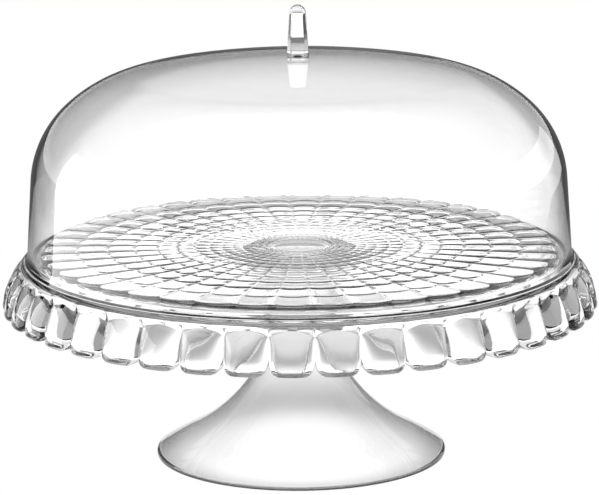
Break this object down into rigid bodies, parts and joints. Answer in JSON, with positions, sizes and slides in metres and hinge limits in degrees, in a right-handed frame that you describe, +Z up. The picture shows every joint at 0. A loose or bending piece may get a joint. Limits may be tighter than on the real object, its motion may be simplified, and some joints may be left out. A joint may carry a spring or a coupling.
{
  "type": "cake stand with dome",
  "caption": "Clear acrylic footed cake stand with a tiled plate, a beaded rim and a lift-off dome with a faceted knob.",
  "frame": {"origin": "middle of the foot's bottom ring, on the table", "axes": "+Z up along the stand's axis; a rim bead is centred on -Y"},
  "size_m": [0.36, 0.36, 0.2752],
  "materials": {
    "foot_acrylic": "clear acrylic, polished",
    "plate_acrylic": "clear acrylic, polished, moulded tile and bead pattern",
    "dome_acrylic": "clear acrylic, polished",
    "knob_acrylic": "clear acrylic, polished facets"
  },
  "bodies": {
    "foot": {"foot": "foot_acrylic"},
    "plate": {"plate": "plate_acrylic"},
    "dome": {"dome": "dome_acrylic", "knob": "knob_acrylic"}
  },
  "joints": [
    {"name": "foot_twist", "type": "hinge", "parent": "foot", "child": "plate", "pos_m": [0, 0, 0.1], "axis": [0, 0, 1], "range_deg": [0, 60]},
    {"name": "dome_lift", "type": "slide", "parent": "plate", "child": "dome", "axis": [0, 0, 1], "range_m": [0, 0.15]}
  ]
}
